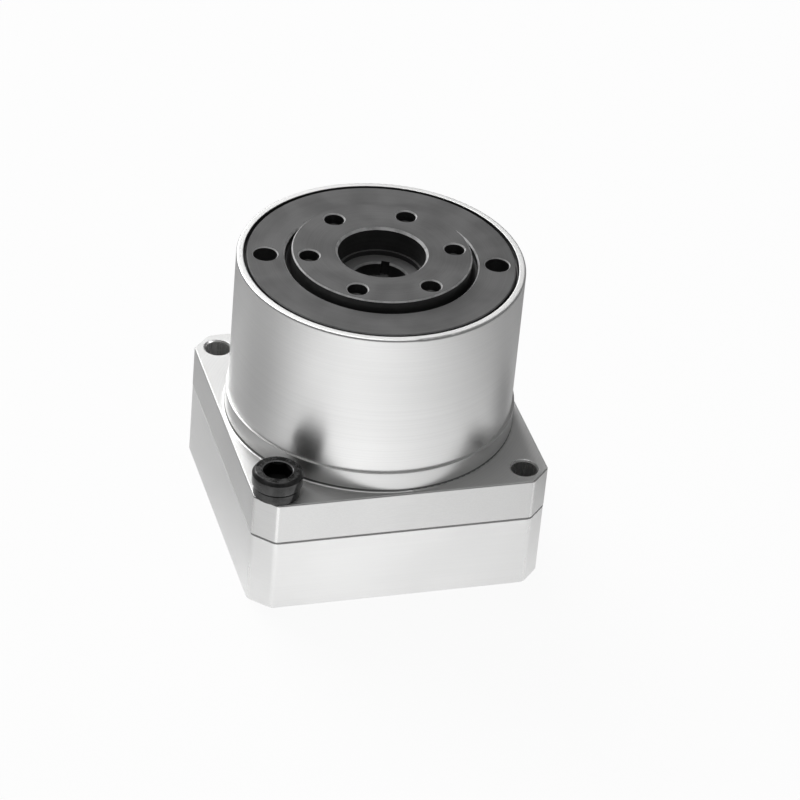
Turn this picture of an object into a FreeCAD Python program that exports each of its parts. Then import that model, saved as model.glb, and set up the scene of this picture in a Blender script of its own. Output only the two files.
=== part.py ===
import FreeCAD
import Part
import Sketcher

import math
import os
import re

# Strain wave gearbox with a square flange, as the pieces that it comes apart into.
# Millimetres, +Z up along the gear axis, origin in the middle of the motor face.

# Driving dimensions, one sheet cell each
DIMENSIONS = {
    # square flange and motor adapter
    "flange_side": 60,
    "corner_cut": 4,
    "flange_corner_round": 1.3,
    "adapter_corner_round": 2,
    "edge_break": 0.2,
    "seam_break": 0.25,
    "adapter_height": 16,
    "flange_thickness": 9,
    "pilot_radius": 29,
    "pilot_height": 4.5,
    "pilot_break": 0.1,
    "foot_round": 0.4,
    "barrel_radius": 28.5,
    "rim_round": 0.4,
    "barrel_top": 60.3,
    # corner screws, M6
    "corner_spacing": 50.5,
    "corner_count": 4,
    "corner_angle": 45,
    "corner_screw_angle": 225,
    "corner_thread_radius": 2.55,
    "corner_thread_depth": 13,
    "corner_hole_chamfer": 0.35,
    "thread_play": 0.05,
    "screw_point": 0.3,
    "head_clearance": 0.15,
    "corner_head_radius": 5,
    "corner_head_height": 5.4,
    "corner_screw_length": 20,
    "corner_socket_radius": 2.89,
    "corner_head_round": 0.55,
    # motor side: pilot, bolts, shaft clamp
    "motor_pilot_radius": 15,
    "motor_pilot_depth": 3,
    "motor_bolt_pitch_radius": 23,
    "motor_bolt_radius": 2,
    "motor_bolt_depth": 10,
    "motor_bolt_count": 4,
    "motor_shaft_radius": 4,
    "motor_bore_top": 30,
    "clamp_room_radius": 12.5,
    "clamp_radius": 11.5,
    "clamp_bottom": 3.6,
    "clamp_top": 10.2,
    "clamp_clearance": 0.4,
    "clamp_slit": 1.2,
    "clamp_screw_side": 7.6,
    "clamp_screw_height": 6.9,
    "clamp_screw_seat": 2.6,
    "clamp_screw_length": 8.5,
    "access_radius": 2.6,
    "access_plug_length": 5,
    "access_plug_recess": 0.1,
    "access_plug_play": 0.02,
    "access_slot": 0.8,
    # adapter to housing: spigot, ring seal, hidden screws
    "spigot_radius": 24.95,
    "spigot_top": 19,
    "o_ring_radius": 0.45,
    "o_ring_height": 17.2,
    "adapter_screw_pitch_radius": 28.2,
    "adapter_screw_angle": -25.2,
    "adapter_screw_count": 4,
    "adapter_thread_depth": 7.5,
    "adapter_screw_seat": 3.3,
    "adapter_screw_point": 22.5,
    # input ball bearing, 15 x 24 x 5
    "input_shaft_radius": 7.48,
    "input_shoulder": 0.9,
    "input_bearing_bore": 7.5,
    "input_bearing_radius": 12,
    "input_bearing_bottom": 12,
    "input_bearing_width": 5,
    "input_bearing_shoulder": 10.6,
    "input_race_gap": 1,
    "input_ball_radius": 1.15,
    "input_ball_pitch_radius": 9.75,
    "input_ball_count": 13,
    "input_cage_half_height": 1.5,
    "input_cage_half_wall": 0.4,
    "shield_recess": 0.2,
    "shield_thickness": 0.3,
    "shield_gap": 0.15,
    "track_clearance": 0.05,
    "circlip_thickness": 1,
    "circlip_groove_radius": 12.6,
    "circlip_play": 0.05,
    "circlip_reach": 1.4,
    "circlip_half_gap": 1.6,
    "circlip_hole_radius": 0.55,
    "circlip_hole_inset": 0.5,
    "circlip_hole_angle": 14,
    # wave generator and its flexible bearing
    "plug_bottom": 27,
    "plug_top": 35,
    "plug_radius": 11.3,
    "spacer_wall": 1.2,
    "hub_end_gap": 0.2,
    "flex_inner_race_radius": 12.6,
    "flex_ball_radius": 1.6,
    "flex_ball_pitch_radius": 13.95,
    "flex_ball_count": 19,
    "flex_outer_race_bore": 15.3,
    "flex_outer_race_radius": 16.6,
    "flex_cage_half_height": 2.2,
    "flex_cage_half_wall": 0.6,
    "generator_screw_pitch_radius": 5.7,
    "generator_screw_count": 4,
    "generator_screw_angle": 45,
    "generator_screw_length": 7.5,
    "generator_thread_depth": 7,
    "generator_washer_bore": 2,
    "generator_washer_radius": 9.2,
    "generator_washer_thickness": 1,
    # tooth ring and cup
    "tooth_module": 0.356,
    "cup_teeth": 100,
    "ring_teeth": 102,
    "spline_top": 34.5,
    "spline_width": 7,
    "spline_radius": 25,
    "spline_play": 0.02,
    "spline_screw_pitch_radius": 21.9,
    "spline_screw_count": 8,
    "spline_screw_reach": 6,
    "spline_thread_depth": 7,
    "cup_bore_radius": 16.65,
    "cup_wall": 0.45,
    "cup_floor_top": 43.8,
    "cup_floor": 0.8,
    "cup_boss_radius": 10,
    "cup_screw_pitch_radius": 7,
    "cup_screw_count": 6,
    "cup_screw_reach": 5,
    "cup_thread_depth": 6,
    "cup_clamp_thickness": 1,
    # crossed roller bearing
    "shoulder_bore_radius": 19.5,
    "bearing_bottom": 46,
    "bearing_width": 9.5,
    "bearing_radius": 25.5,
    "bearing_outer_bore": 20.6,
    "bearing_inner_radius": 19.6,
    "roller_radius": 2,
    "roller_length": 3.8,
    "roller_pitch_radius": 20.1,
    "roller_count": 28,
    "roller_clearance": 0.02,
    # lock ring and shaft seal
    "lock_bore_radius": 26.65,
    "lock_ring_radius": 26.6,
    "lock_ring_bore": 19,
    "lock_ring_chamfer": 0.2,
    "lock_ring_inner_chamfer": 0.3,
    "lock_neck_radius": 26.5,
    "lock_neck_height": 1.5,
    "lock_mouth_radius": 27.1,
    "spanner_hole_radius": 2.4,
    "spanner_pitch_radius": 22.8,
    "spanner_depth": 4,
    "spanner_hole_count": 2,
    "spanner_angle": -13.4,
    "seal_bottom": 57,
    "seal_top": 58.8,
    "seal_gap": 0.08,
    "seal_play": 0.02,
    "seal_lip": 0.7,
    # output flange
    "output_top": 62,
    "output_bottom": 46.5,
    "output_radius": 17.75,
    "output_chamfer": 0.25,
    "output_shoulder_gap": 0.5,
    "output_bore_radius": 8.7,
    "output_bore_depth": 5,
    "output_bore_chamfer": 0.45,
    "output_step_radius": 8.25,
    "output_step_depth": 1,
    "keyed_hole_radius": 5.5,
    "keyed_hole_chamfer": 0.35,
    "keyed_hole_depth": 3,
    "output_hole_radius": 4.5,
    "keyway_width": 1.7,
    "keyway_depth": 0.6,
    "keyway_angle": 64,
    "output_bolt_pitch_radius": 14.5,
    "output_bolt_radius": 2,
    "output_bolt_depth": 7.5,
    "output_bolt_angle": -4.1,
    "output_bolt_count": 6,
    "output_bolt_chamfer": 0.25,
    # M3 and M2.5 cap screws used inside
    "m3_core_radius": 1.25,
    "m3_clear_radius": 1.7,
    "m3_screw_radius": 1.2,
    "m3_head_radius": 2.75,
    "m3_head_height": 3,
    "m3_socket_radius": 1.44,
    "m25_core_radius": 1.02,
    "m25_clear_radius": 1.35,
    "m25_screw_radius": 1,
    "m25_head_radius": 2.25,
    "m25_head_height": 2.3,
    "m25_socket_radius": 1.15,
}
ALIAS = re.compile(r"\b(" + "|".join(DIMENSIONS) + r")\b")

# Heights and sizes that several pieces share, worked out from the sheet
FLANGE_TOP = "(adapter_height + flange_thickness)"
PILOT_TOP = "(adapter_height + flange_thickness + pilot_height)"
BEARING_TOP = "(bearing_bottom + bearing_width)"
BEARING_MIDDLE = "(bearing_bottom + bearing_width / 2)"
INPUT_BEARING_TOP = "(input_bearing_bottom + input_bearing_width)"
INPUT_BEARING_MIDDLE = "(input_bearing_bottom + input_bearing_width / 2)"
SPLINE_BOTTOM = "(spline_top - spline_width)"
SPLINE_MIDDLE = "(spline_top - spline_width / 2)"
CUP_FLOOR_BOTTOM = "(cup_floor_top - cup_floor)"
CUP_CLAMP_BOTTOM = "(cup_floor_top - cup_floor - cup_clamp_thickness)"
OUTPUT_LEDGE = "(output_top - output_bore_depth)"
OUTPUT_FLOOR = "(output_top - output_bore_depth - output_step_depth)"
CORNER_PITCH_RADIUS = "(corner_spacing / 2 * sqrt(2))"
WASHER_TOP = "(plug_top + generator_washer_thickness)"
FULL_TURN = 360
QUARTER_TURN = 90

doc = FreeCAD.newDocument("strain_wave_gearbox")
dims = doc.addObject("Spreadsheet::Sheet", "dims")
pieces = []


def fill_sheet():
    for row, (alias, value) in enumerate(DIMENSIONS.items(), 1):
        dims.set(f"A{row}", alias)
        dims.set(f"B{row}", str(value))
        dims.setAlias(f"B{row}", alias)
    doc.recompute()


def bind(thing, path, text):
    """Ties a property to the sheet; the text names cells by their aliases."""
    thing.setExpression(path, ALIAS.sub(r"dims.\1", text))


def as_piece(thing, label):
    """Marks an object as one finished piece of the gearbox."""
    thing.Label = label
    pieces.append(thing)
    return thing


# Sketches and features of a body
def new_body(label):
    return as_piece(doc.addObject("PartDesign::Body", label + "_body"), label)


def origin_feature(body, role):
    return next(feature for feature in body.Origin.OriginFeatures if feature.Role == role)


def new_sketch(body, role, offset="0", turn="0"):
    sketch = body.newObject("Sketcher::SketchObject", "Sketch")
    sketch.AttachmentSupport = [(origin_feature(body, role), "")]
    sketch.MapMode = "FlatFace"
    bind(sketch, "AttachmentOffset.Base.z", offset)
    bind(sketch, "AttachmentOffset.Rotation.Angle", turn)
    return sketch


def place_point(sketch, geometry, end, start, across, along):
    for kind, text, value in (("DistanceX", across, start.x), ("DistanceY", along, start.y)):
        index = sketch.addConstraint(Sketcher.Constraint(kind, -1, 1, geometry, end, value))
        bind(sketch, f"Constraints[{index}]", text)


def outline(sketch, corners):
    """Closed outline of straight lines; each corner is a pair of sheet expressions."""
    count = len(corners)
    starts = [FreeCAD.Vector(10 + i, 10 + i * i, 0) for i in range(count)]
    for i in range(count):
        sketch.addGeometry(Part.LineSegment(starts[i], starts[(i + 1) % count]), False)
    for i in range(count):
        sketch.addConstraint(Sketcher.Constraint("Coincident", i, 2, (i + 1) % count, 1))
    for i, (across, along) in enumerate(corners):
        place_point(sketch, i, 1, starts[i], across, along)
    return sketch


def circle(sketch, radius, across="0", along="0"):
    start = FreeCAD.Vector(1, 1, 0)
    index = sketch.addGeometry(Part.Circle(start, FreeCAD.Vector(0, 0, 1), 1), False)
    place_point(sketch, index, 3, start, across, along)
    size = sketch.addConstraint(Sketcher.Constraint("Radius", index, 1.0))
    bind(sketch, f"Constraints[{size}]", radius)
    return sketch


def turn(body, corners, kind="Revolution", axis="0"):
    """Turns a profile of (radius, height) corners about the Z axis, or about a line beside it."""
    sketch = outline(new_sketch(body, "XZ_Plane"), corners)
    reference = "V_Axis"
    if axis != "0":
        start = FreeCAD.Vector(1, 0, 0)
        line = Part.LineSegment(start, FreeCAD.Vector(1, 5, 0))
        index = sketch.addGeometry(line, True)
        sketch.addConstraint(Sketcher.Constraint("Vertical", index))
        across = sketch.addConstraint(Sketcher.Constraint("DistanceX", -1, 1, index, 1, 1.0))
        bind(sketch, f"Constraints[{across}]", axis)
        reference = "Axis0"
    feature = body.newObject("PartDesign::" + kind, kind)
    feature.Profile = sketch
    feature.ReferenceAxis = (sketch, [reference])
    feature.Angle = FULL_TURN
    return feature


def turned(label, corners):
    body = new_body(label)
    turn(body, corners)
    return body


def pad(body, sketch, length):
    feature = body.newObject("PartDesign::Pad", "Pad")
    feature.Profile = sketch
    bind(feature, "Length", length)
    return feature


def pocket(body, sketch, depth, upward=False):
    feature = body.newObject("PartDesign::Pocket", "Pocket")
    feature.Profile = sketch
    feature.Reversed = upward
    bind(feature, "Length", depth)
    return feature


def ring_pattern(body, features, count):
    pattern = body.newObject("PartDesign::PolarPattern", "PolarPattern")
    pattern.Originals = features
    pattern.Axis = (origin_feature(body, "Z_Axis"), [""])
    pattern.Angle = FULL_TURN
    bind(pattern, "Occurrences", count)
    body.Tip = pattern
    return pattern


def drill(body, radius, pitch, mouth, depth, count="1", angle="0", upward=False):
    """A ring of round holes about the Z axis, cut from the height of their mouths."""
    sketch = circle(new_sketch(body, "XY_Plane", mouth, angle), radius, pitch)
    hole = pocket(body, sketch, depth, upward)
    if count != "1":
        ring_pattern(body, [hole], count)
    return hole


def break_edges(body, wanted, size, kind="Chamfer"):
    """Chamfers or rounds the edges of the body so far that the test picks."""
    doc.recompute()
    shape = body.Tip.Shape
    names = [f"Edge{i}" for i, edge in enumerate(shape.Edges, 1) if wanted(edge)]
    feature = body.newObject("PartDesign::" + kind, kind)
    feature.Base = (feature.BaseFeature, names)
    bind(feature, "Radius" if kind == "Fillet" else "Size", size)


def upright_edge(edge):
    """A straight edge along Z on the outside of the square plate."""
    box = edge.BoundBox
    outside = max(abs(box.Center.x), abs(box.Center.y)) > dims.flange_side / 2 - 0.1
    return outside and box.ZLength > 1 and box.XLength + box.YLength < 0.01


def plate_edge(height):
    """A test for the outer edges of the square plate at one height."""
    inner = dims.flange_side / 2 - dims.corner_cut

    def wanted(edge):
        box = edge.BoundBox
        level = abs(box.ZMin - height) < 0.01 and box.ZLength < 0.01
        return level and max(abs(box.Center.x), abs(box.Center.y)) > inner

    return wanted


def square_plate(body, bottom, thickness, corner_round):
    """Square block with its four corners cut at 45 degrees and rounded."""
    half = "flange_side / 2"
    short = "(flange_side / 2 - corner_cut)"
    corners = [
        (half, "-" + short),
        (half, short),
        (short, half),
        ("-" + short, half),
        ("-" + half, short),
        ("-" + half, "-" + short),
        ("-" + short, "-" + half),
        (short, "-" + half),
    ]
    pad(body, outline(new_sketch(body, "XY_Plane", bottom), corners), thickness)
    break_edges(body, upright_edge, corner_round, "Fillet")


# Primitives and booleans
def cylinder(radius, bottom, height, across="0", along="0"):
    solid = doc.addObject("Part::Cylinder", "Cylinder")
    bind(solid, "Radius", radius)
    bind(solid, "Height", height)
    bind(solid, "Placement.Base.x", across)
    bind(solid, "Placement.Base.y", along)
    bind(solid, "Placement.Base.z", bottom)
    return solid


def cut(base, tool):
    result = doc.addObject("Part::Cut", "Cut")
    result.Base = base
    result.Tool = tool
    return result


def fuse(base, tool):
    result = doc.addObject("Part::Fuse", "Fuse")
    result.Base = base
    result.Tool = tool
    return result


def group(solids):
    result = doc.addObject("Part::Compound", "Compound")
    result.Links = solids
    return result


def steps(count):
    return [FULL_TURN / count * i for i in range(count)]


def cylinder_ring(radius, pitch, bottom, height, count):
    return group(
        [
            cylinder(radius, bottom, height, f"{pitch} * cos({angle})", f"{pitch} * sin({angle})")
            for angle in steps(count)
        ]
    )


def ball_ring(radius, pitch, height, count, wave="0"):
    """Balls on a circle, or on the waved circle of the flexible bearing."""
    balls = []
    for angle in steps(count):
        ball = doc.addObject("Part::Sphere", "Ball")
        bind(ball, "Radius", radius)
        bind(ball, "Placement.Base.x", f"({pitch} + {wave}) * cos({angle})")
        bind(ball, "Placement.Base.y", f"({pitch} - {wave}) * sin({angle})")
        bind(ball, "Placement.Base.z", height)
        balls.append(ball)
    return group(balls)


def cage_pockets(radius, reach, pitch, height, count, wave="0"):
    """Round holes through a cage, one for each ball, that point away from the axis."""
    pockets = []
    for angle in steps(count):
        hole = doc.addObject("Part::Cylinder", "CagePocket")
        bind(hole, "Radius", radius)
        bind(hole, "Height", f"2 * {reach}")
        lying = FreeCAD.Rotation(FreeCAD.Vector(0, 1, 0), QUARTER_TURN)
        hole.Placement.Rotation = FreeCAD.Rotation(FreeCAD.Vector(0, 0, 1), angle).multiply(lying)
        bind(hole, "Placement.Base.x", f"({pitch} + {wave} - {reach}) * cos({angle})")
        bind(hole, "Placement.Base.y", f"({pitch} - {wave} - {reach}) * sin({angle})")
        bind(hole, "Placement.Base.z", height)
        pockets.append(hole)
    return group(pockets)


def waved_circle(radius, height, wave="tooth_module"):
    """The ellipse that a flexible ring of this radius takes on the wave generator."""
    curve = doc.addObject("Part::Ellipse", "Ellipse")
    bind(curve, "MajorRadius", f"{radius} + {wave}")
    bind(curve, "MinorRadius", f"{radius} - {wave}")
    bind(curve, "Placement.Base.z", height)
    return curve


def waved_disc(radius, bottom, height):
    solid = doc.addObject("Part::Extrusion", "Extrusion")
    solid.Base = waved_circle(radius, bottom)
    solid.DirMode = "Custom"
    solid.Dir = FreeCAD.Vector(0, 0, 1)
    solid.Solid = True
    bind(solid, "LengthFwd", height)
    return solid


def waved_ring(outer, inner, bottom, height):
    return cut(waved_disc(outer, bottom, height), waved_disc(inner, bottom, height))


# Cap screws, which all have one form
def cap_screws(label, seat, point, head, shank, socket, pitch="0", count="1", angle="0",
               heads_down=False, head_round="edge_break"):
    """Socket head cap screws, one or a ring of them; the head stands on its seat."""
    radius, height = head
    out, inward = ("-", "+") if heads_down else ("+", "-")
    head_end = f"({seat} {out} {height})"
    body = new_body(label)
    corners = [
        (pitch, point),
        (f"{pitch} + {shank} - screw_point", point),
        (f"{pitch} + {shank}", f"{point} {out} screw_point"),
        (f"{pitch} + {shank}", seat),
        (f"{pitch} + {radius}", seat),
        (f"{pitch} + {radius}", f"{head_end} {inward} {head_round}"),
        (f"{pitch} + {radius} - {head_round}", head_end),
        (pitch, head_end),
    ]
    screw = turn(body, corners, axis=pitch)
    hexagon = [
        (f"{pitch} + {socket} * cos({corner})", f"{socket} * sin({corner})")
        for corner in steps(6)
    ]
    sketch = outline(new_sketch(body, "XY_Plane", head_end), hexagon)
    recess = pocket(body, sketch, f"{height} / 2", upward=heads_down)
    if count != "1":
        ring_pattern(body, [screw, recess], count)
    bind(body, "Placement.Rotation.Angle", angle)
    return body


# Housing: square flange, pilot step and barrel turned from one block of aluminium
def make_housing():
    body = new_body("housing")
    square_plate(body, "adapter_height", "flange_thickness", "flange_corner_round")
    turn(body, [
        ("0", "adapter_height"),
        ("pilot_radius", "adapter_height"),
        ("pilot_radius", f"{PILOT_TOP} - pilot_break"),
        ("pilot_radius - pilot_break", PILOT_TOP),
        ("barrel_radius", PILOT_TOP),
        ("barrel_radius", "barrel_top"),
        ("0", "barrel_top"),
    ])
    turn(body, [
        ("0", "adapter_height"),
        ("spline_radius", "adapter_height"),
        ("spline_radius", "spline_top"),
        ("shoulder_bore_radius", "spline_top"),
        ("shoulder_bore_radius", "bearing_bottom"),
        ("bearing_radius", "bearing_bottom"),
        ("bearing_radius", BEARING_TOP),
        ("lock_bore_radius", BEARING_TOP),
        ("lock_bore_radius", "barrel_top - lock_neck_height"),
        ("lock_mouth_radius", "barrel_top - lock_neck_height"),
        ("lock_mouth_radius", "barrel_top"),
        ("0", "barrel_top"),
    ], "Groove")
    top = dims.adapter_height + dims.flange_thickness
    break_edges(body, round_edge(dims.pilot_radius, top), "foot_round", "Fillet")
    break_edges(body, round_edge(dims.barrel_radius, dims.barrel_top), "rim_round", "Fillet")
    drill(body, "corner_thread_radius", CORNER_PITCH_RADIUS, FLANGE_TOP, "flange_thickness", "corner_count",
          "corner_angle")
    drill(body, "m3_core_radius", "adapter_screw_pitch_radius", "adapter_height", "adapter_thread_depth",
          "adapter_screw_count", "adapter_screw_angle", upward=True)
    drill(body, "m3_core_radius", "spline_screw_pitch_radius", "spline_top", "spline_thread_depth",
          "spline_screw_count", upward=True)
    break_edges(body, plate_edge(top), "edge_break")
    break_edges(body, plate_edge(dims.adapter_height), "seam_break")
    break_edges(body, round_edge(dims.corner_thread_radius, top), "corner_hole_chamfer")


def round_edge(radius, height):
    """A test for the round edges of one size at one height."""
    def wanted(edge):
        level = abs(edge.BoundBox.ZMin - height) < 0.01 and edge.BoundBox.ZLength < 0.01
        return level and isinstance(edge.Curve, Part.Circle) and abs(edge.Curve.Radius - radius) < 0.01

    return wanted


# Motor adapter: the lower block, with the motor's pilot and bolts and the input bearing's seat
def make_motor_adapter():
    body = new_body("motor_adapter")
    square_plate(body, "0", "adapter_height", "adapter_corner_round")
    groove_floor = "(spigot_radius - 2 * o_ring_radius)"
    turn(body, [
        ("0", "adapter_height"),
        ("spigot_radius", "adapter_height"),
        ("spigot_radius", "o_ring_height - o_ring_radius"),
        (groove_floor, "o_ring_height - o_ring_radius"),
        (groove_floor, "o_ring_height + o_ring_radius"),
        ("spigot_radius", "o_ring_height + o_ring_radius"),
        ("spigot_radius", "spigot_top - edge_break"),
        ("spigot_radius - edge_break", "spigot_top"),
        ("0", "spigot_top"),
    ])
    circlip_top = f"({INPUT_BEARING_TOP} + circlip_thickness + 2 * circlip_play)"
    turn(body, [
        ("0", "0"),
        ("motor_pilot_radius", "0"),
        ("motor_pilot_radius", "motor_pilot_depth"),
        ("clamp_room_radius", "motor_pilot_depth"),
        ("clamp_room_radius", "clamp_top + clamp_clearance"),
        ("input_bearing_shoulder", "clamp_top + clamp_clearance"),
        ("input_bearing_shoulder", "input_bearing_bottom"),
        ("input_bearing_radius", "input_bearing_bottom"),
        ("input_bearing_radius", INPUT_BEARING_TOP),
        ("circlip_groove_radius", INPUT_BEARING_TOP),
        ("circlip_groove_radius", circlip_top),
        ("input_bearing_radius", circlip_top),
        ("input_bearing_radius", "spigot_top"),
        ("0", "spigot_top"),
    ], "Groove")
    drill(body, "motor_bolt_radius", "motor_bolt_pitch_radius", "0", "motor_bolt_depth",
          "motor_bolt_count", "corner_angle", upward=True)
    drill(body, "corner_thread_radius", CORNER_PITCH_RADIUS, "adapter_height", "corner_thread_depth",
          "corner_count", "corner_angle")
    drill(body, "m3_clear_radius", "adapter_screw_pitch_radius", "0", "adapter_height",
          "adapter_screw_count", "adapter_screw_angle", upward=True)
    drill(body, "m3_head_radius + head_clearance", "adapter_screw_pitch_radius", "0", "adapter_screw_seat",
          "adapter_screw_count", "adapter_screw_angle", upward=True)
    side = new_sketch(body, "YZ_Plane", "flange_side / 2")
    pocket(body, circle(side, "access_radius", "clamp_screw_side", "clamp_screw_height"),
           "flange_side / 2 - clamp_screw_side")
    break_edges(body, plate_edge(dims.adapter_height), "seam_break")
    break_edges(body, plate_edge(0), "edge_break")


# Pieces that join and seal the two blocks
def make_fixings():
    cap_screws("corner_screw", FLANGE_TOP, f"({FLANGE_TOP} - corner_screw_length)",
               ("corner_head_radius", "corner_head_height"), "corner_thread_radius - thread_play",
               "corner_socket_radius", CORNER_PITCH_RADIUS, angle="corner_screw_angle",
               head_round="corner_head_round")
    cap_screws("adapter_screws", "adapter_screw_seat", "adapter_screw_point",
               ("m3_head_radius", "m3_head_height"), "m3_screw_radius", "m3_socket_radius",
               "adapter_screw_pitch_radius", "adapter_screw_count", "adapter_screw_angle", heads_down=True)
    ring = doc.addObject("Part::Torus", "adapter_o_ring_torus")
    bind(ring, "Radius1", "spigot_radius - o_ring_radius")
    bind(ring, "Radius2", "o_ring_radius")
    bind(ring, "Placement.Base.z", "o_ring_height")
    as_piece(ring, "adapter_o_ring")


# Moulded plug that closes the hole to the clamp screw, in the right side of the adapter
def make_access_plug():
    body = turned("access_plug", [
        ("0", "0"),
        ("access_radius - edge_break", "0"),
        ("access_radius - access_plug_play", "edge_break"),
        ("access_radius - access_plug_play", "access_plug_length - edge_break"),
        ("access_radius - edge_break", "access_plug_length"),
        ("0", "access_plug_length"),
    ])
    half = "access_slot / 2"
    slot = [
        ("-access_radius", "-" + half),
        ("access_radius", "-" + half),
        ("access_radius", half),
        ("-access_radius", half),
    ]
    pocket(body, outline(new_sketch(body, "XY_Plane", "access_plug_length"), slot), "access_slot")
    body.Placement.Rotation = FreeCAD.Rotation(FreeCAD.Vector(0, 1, 0), QUARTER_TURN)
    bind(body, "Placement.Base.x", "flange_side / 2 - access_plug_length - access_plug_recess")
    bind(body, "Placement.Base.y", "clamp_screw_side")
    bind(body, "Placement.Base.z", "clamp_screw_height")


# Input ball bearing: two grooved rings, shields, balls and cage, held by a circlip
def ring_with_track(label, bore, radius):
    """One ring of the input bearing, cut by the ball track."""
    outer = cylinder(radius, "input_bearing_bottom", "input_bearing_width")
    ring = cut(outer, cylinder(bore, "input_bearing_bottom", "input_bearing_width"))
    track = doc.addObject("Part::Torus", "Track")
    bind(track, "Radius1", "input_ball_pitch_radius")
    bind(track, "Radius2", "input_ball_radius + track_clearance")
    bind(track, "Placement.Base.z", INPUT_BEARING_MIDDLE)
    as_piece(cut(ring, track), label)


def make_input_bearing():
    ring_with_track("input_bearing_outer_ring", "input_ball_pitch_radius + input_race_gap",
                    "input_bearing_radius")
    ring_with_track("input_bearing_inner_ring", "input_bearing_bore",
                    "input_ball_pitch_radius - input_race_gap")
    shields = new_body("input_bearing_shields")
    for low in ("input_bearing_bottom + shield_recess",
                f"{INPUT_BEARING_TOP} - shield_recess - shield_thickness"):
        high = f"{low} + shield_thickness"
        turn(shields, [
            ("input_ball_pitch_radius - input_race_gap + shield_gap", low),
            ("input_ball_pitch_radius + input_race_gap", low),
            ("input_ball_pitch_radius + input_race_gap", high),
            ("input_ball_pitch_radius - input_race_gap + shield_gap", high),
        ])
    place = ("input_ball_pitch_radius", INPUT_BEARING_MIDDLE, dims.input_ball_count)
    as_piece(ball_ring("input_ball_radius", *place), "input_bearing_balls")
    bottom, height = f"{INPUT_BEARING_MIDDLE} - input_cage_half_height", "2 * input_cage_half_height"
    ring = cut(cylinder("input_ball_pitch_radius + input_cage_half_wall", bottom, height),
               cylinder("input_ball_pitch_radius - input_cage_half_wall", bottom, height))
    pockets = cage_pockets("input_ball_radius + track_clearance", "input_ball_radius", *place)
    as_piece(cut(ring, pockets), "input_bearing_cage")


def make_bearing_circlip():
    low = f"{INPUT_BEARING_TOP} + circlip_play"
    high = f"{low} + circlip_thickness"
    body = turned("bearing_circlip", [
        ("input_bearing_radius - circlip_reach", low),
        ("circlip_groove_radius - circlip_play", low),
        ("circlip_groove_radius - circlip_play", high),
        ("input_bearing_radius - circlip_reach", high),
    ])
    gap = [
        ("0", "-circlip_half_gap"),
        ("circlip_groove_radius", "-circlip_half_gap"),
        ("circlip_groove_radius", "circlip_half_gap"),
        ("0", "circlip_half_gap"),
    ]
    pocket(body, outline(new_sketch(body, "XY_Plane", high), gap), "circlip_thickness")
    for angle in ("circlip_hole_angle", "-circlip_hole_angle"):
        drill(body, "circlip_hole_radius", "input_bearing_radius - circlip_hole_inset", high,
              "circlip_thickness", angle=angle)


# Input hub: clamp collar for the motor shaft and the shaft that carries the wave generator
def make_input_hub():
    body = turned("input_hub", [
        ("motor_shaft_radius", "clamp_bottom"),
        ("clamp_radius - edge_break", "clamp_bottom"),
        ("clamp_radius", "clamp_bottom + edge_break"),
        ("clamp_radius", "clamp_top - edge_break"),
        ("clamp_radius - edge_break", "clamp_top"),
        ("input_shaft_radius + input_shoulder", "clamp_top"),
        ("input_shaft_radius + input_shoulder", "input_bearing_bottom"),
        ("input_shaft_radius", "input_bearing_bottom"),
        ("input_shaft_radius", "plug_top - hub_end_gap"),
        ("0", "plug_top - hub_end_gap"),
        ("0", "motor_bore_top"),
        ("motor_shaft_radius", "motor_bore_top"),
    ])
    drill(body, "m25_core_radius", "generator_screw_pitch_radius", "plug_top - hub_end_gap",
          "generator_thread_depth", "generator_screw_count", "generator_screw_angle")
    slit = [
        ("-clamp_slit / 2", "0"),
        ("clamp_slit / 2", "0"),
        ("clamp_slit / 2", "clamp_radius"),
        ("-clamp_slit / 2", "clamp_radius"),
    ]
    pocket(body, outline(new_sketch(body, "XY_Plane", "clamp_top"), slit), "clamp_top - clamp_bottom")
    for radius, depth in (("m25_head_radius + head_clearance", "clamp_radius - clamp_screw_seat"),
                          ("m25_clear_radius", "clamp_radius"),
                          ("m25_core_radius", "2 * clamp_radius")):
        side = new_sketch(body, "YZ_Plane", "clamp_radius")
        pocket(body, circle(side, radius, "clamp_screw_side", "clamp_screw_height"), depth)
    screw = cap_screws("clamp_screw", "clamp_screw_seat", "clamp_screw_seat - clamp_screw_length",
                       ("m25_head_radius", "m25_head_height"), "m25_screw_radius", "m25_socket_radius")
    screw.setExpression("Placement.Rotation.Angle", None)
    screw.Placement.Rotation = FreeCAD.Rotation(FreeCAD.Vector(0, 1, 0), QUARTER_TURN)
    bind(screw, "Placement.Base.y", "clamp_screw_side")
    bind(screw, "Placement.Base.z", "clamp_screw_height")


# Wave generator: oval plug clamped on the hub, with the thin bearing that it bends to its shape
def make_wave_generator():
    turned("wave_generator_spacer", [
        ("input_bearing_bore", INPUT_BEARING_TOP),
        ("input_bearing_bore + spacer_wall", INPUT_BEARING_TOP),
        ("input_bearing_bore + spacer_wall", "plug_bottom"),
        ("input_bearing_bore", "plug_bottom"),
    ])
    length = "plug_top - plug_bottom"
    plug = waved_disc("plug_radius", "plug_bottom", length)
    as_piece(cut(plug, cylinder("input_bearing_bore", "plug_bottom", length)), "wave_generator_plug")
    washer = turned("wave_generator_washer", [
        ("generator_washer_bore", "plug_top"),
        ("generator_washer_radius", "plug_top"),
        ("generator_washer_radius", WASHER_TOP),
        ("generator_washer_bore", WASHER_TOP),
    ])
    drill(washer, "m25_clear_radius", "generator_screw_pitch_radius", WASHER_TOP,
          "generator_washer_thickness", "generator_screw_count", "generator_screw_angle")
    cap_screws("wave_generator_screws", WASHER_TOP, f"{WASHER_TOP} - generator_screw_length",
               ("m25_head_radius", "m25_head_height"), "m25_screw_radius", "m25_socket_radius",
               "generator_screw_pitch_radius", "generator_screw_count", "generator_screw_angle")


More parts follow.
